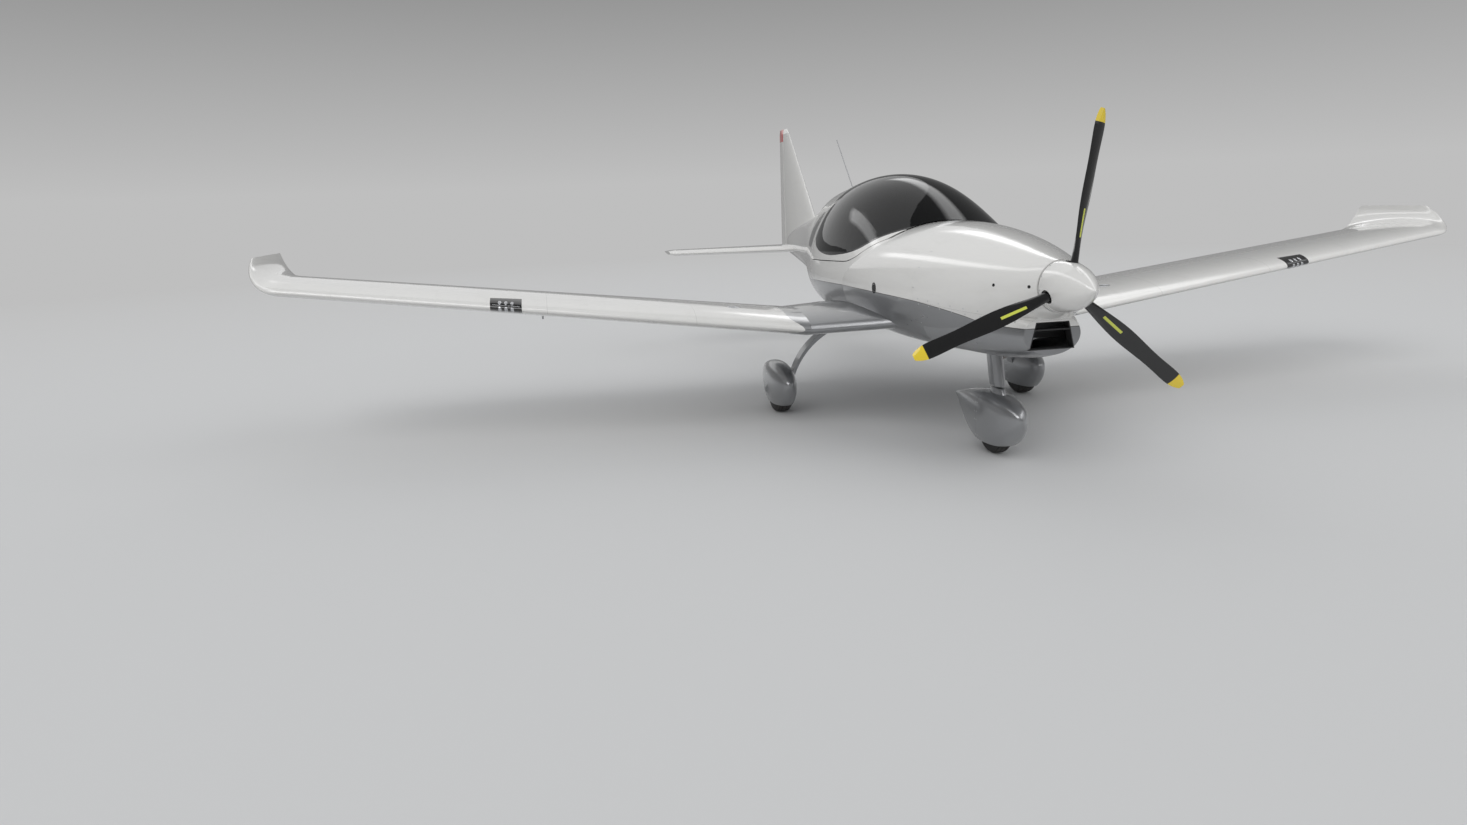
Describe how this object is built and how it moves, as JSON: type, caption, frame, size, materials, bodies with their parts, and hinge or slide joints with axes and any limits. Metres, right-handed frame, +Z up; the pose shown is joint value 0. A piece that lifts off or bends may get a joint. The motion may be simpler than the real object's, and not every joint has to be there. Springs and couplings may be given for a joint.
{
  "type": "light aircraft",
  "caption": "Two-seat low-wing light aircraft with bubble canopy, fixed nose-wheel gear and propeller; controls, flaps, canopy, wheels and propeller move.",
  "frame": {"origin": "on the ground under the middle of the bounding box", "axes": "nose towards -Y, tail towards +Y, the pilot's left towards +X, +Z up"},
  "size_m": [9.1476, 6.45, 2.318],
  "materials": {
    "white_paint": "gloss white paint",
    "silver_paint": "metallic silver-grey paint",
    "dark_glass": "dark tinted",
    "lamp_black": "gloss black",
    "red_lens": "clear red",
    "blade_black": "gloss black with yellow tips",
    "alloy": "satin",
    "gear_steel": "satin",
    "gear_grey": "gloss",
    "engine_metal": "cast",
    "tyre_rubber": "matte",
    "seat_cloth": "woven",
    "cabin_grey": "matte",
    "panel_black": "matte"
  },
  "bodies": {
    "airframe": {"fuselage_cabin": "white_paint", "tail_cone": "white_paint", "cowling_upper": "white_paint", "cowling_lower": "silver_paint", "chin_inlet_grille": "panel_black", "engine_block": "engine_metal", "exhaust_pipe": "gear_steel", "engine_mount": "gear_steel", "firewall": "alloy", "rear_windows": "dark_glass", "canopy_hinge_brackets": "alloy", "wing_left": "white_paint", "wing_right": "white_paint", "wing_tips": "white_paint", "landing_lights": "lamp_black", "tie_down_lugs": "alloy", "stabilizer": "white_paint", "fin": "white_paint", "whip_antenna": "panel_black", "main_gear_legs": "gear_grey", "main_axles": "gear_steel", "main_wheel_pants": "silver_paint", "nose_leg": "gear_grey", "cabin_floor": "cabin_grey", "rear_bulkhead": "cabin_grey", "seat_pans": "cabin_grey", "seat_cushions": "seat_cloth", "seat_backs": "seat_cloth", "headrests": "seat_cloth", "instrument_panel": "panel_black", "panel_screens": "panel_black", "centre_console": "cabin_grey", "control_sticks": "panel_black", "rudder_pedals": "panel_black"},
    "propeller": {"propeller_hub": "alloy", "propeller_blades": "blade_black", "spinner": "white_paint"},
    "canopy": {"canopy_frame": "white_paint", "canopy_glass": "dark_glass"},
    "flap_left": {"flap_left": "white_paint"},
    "flap_right": {"flap_right": "white_paint"},
    "aileron_left": {"aileron_left": "white_paint"},
    "aileron_right": {"aileron_right": "white_paint"},
    "elevator": {"elevator": "white_paint"},
    "rudder": {"rudder": "white_paint", "tail_beacon": "red_lens"},
    "nose_gear": {"nose_fork": "gear_steel", "nose_axle": "gear_steel", "nose_pant": "silver_paint"},
    "nose_wheel": {"nose_tyre": "tyre_rubber", "nose_rim": "alloy"},
    "left_wheel": {"left_tyre": "tyre_rubber", "left_rim": "alloy"},
    "right_wheel": {"right_tyre": "tyre_rubber", "right_rim": "alloy"}
  },
  "joints": [
    {"name": "propeller_spin", "type": "hinge", "parent": "airframe", "child": "propeller", "pos_m": [0, -2.972, 1.081], "axis": [0, 1, 0], "continuous": true},
    {"name": "canopy_hinge", "type": "hinge", "parent": "airframe", "child": "canopy", "pos_m": [0, -1.795, 1.18], "axis": [1, 0, 0], "range_deg": [0, 50]},
    {"name": "flap_left_hinge", "type": "hinge", "parent": "airframe", "child": "flap_left", "pos_m": [0.975, -0.29029, 0.69225], "axis": [0.9921, 0.0078, 0.125], "range_deg": [-30, 0]},
    {"name": "flap_right_hinge", "type": "hinge", "parent": "airframe", "child": "flap_right", "pos_m": [-0.975, -0.29029, 0.69225], "axis": [0.9921, -0.0078, -0.125], "range_deg": [-30, 0]},
    {"name": "aileron_left_hinge", "type": "hinge", "parent": "airframe", "child": "aileron_left", "pos_m": [2.566, -0.27783, 0.89267], "axis": [0.9923, 0.0077, 0.1234], "range_deg": [-20, 20]},
    {"name": "aileron_right_hinge", "type": "hinge", "parent": "airframe", "child": "aileron_right", "pos_m": [-2.566, -0.27783, 0.89267], "axis": [0.9923, -0.0077, -0.1234], "range_deg": [-20, 20]},
    {"name": "elevator_hinge", "type": "hinge", "parent": "airframe", "child": "elevator", "pos_m": [0, 2.71, 1.05], "axis": [1, 0, 0], "range_deg": [-20, 28]},
    {"name": "rudder_hinge", "type": "hinge", "parent": "airframe", "child": "rudder", "pos_m": [0, 2.897, 1.01], "axis": [0, 0.0875, 0.9962], "range_deg": [-25, 25]},
    {"name": "nose_steering", "type": "hinge", "parent": "airframe", "child": "nose_gear", "pos_m": [0, -2.165, 0.6], "axis": [0, 0.2588, 0.9659], "range_deg": [-15, 15]},
    {"name": "nose_wheel_spin", "type": "hinge", "parent": "nose_gear", "child": "nose_wheel", "pos_m": [0, -2.201, 0.16], "axis": [1, 0, 0], "continuous": true},
    {"name": "left_wheel_spin", "type": "hinge", "parent": "airframe", "child": "left_wheel", "pos_m": [0.985, -0.645, 0.178], "axis": [1, 0, 0], "continuous": true},
    {"name": "right_wheel_spin", "type": "hinge", "parent": "airframe", "child": "right_wheel", "pos_m": [-0.985, -0.645, 0.178], "axis": [1, 0, 0], "continuous": true}
  ],
  "couplings": [
    {"joint": "flap_right_hinge", "follows": "flap_left_hinge", "ratio": 1},
    {"joint": "aileron_right_hinge", "follows": "aileron_left_hinge", "ratio": -1},
    {"joint": "rudder_hinge", "follows": "nose_steering", "ratio": -1.666}
  ]
}
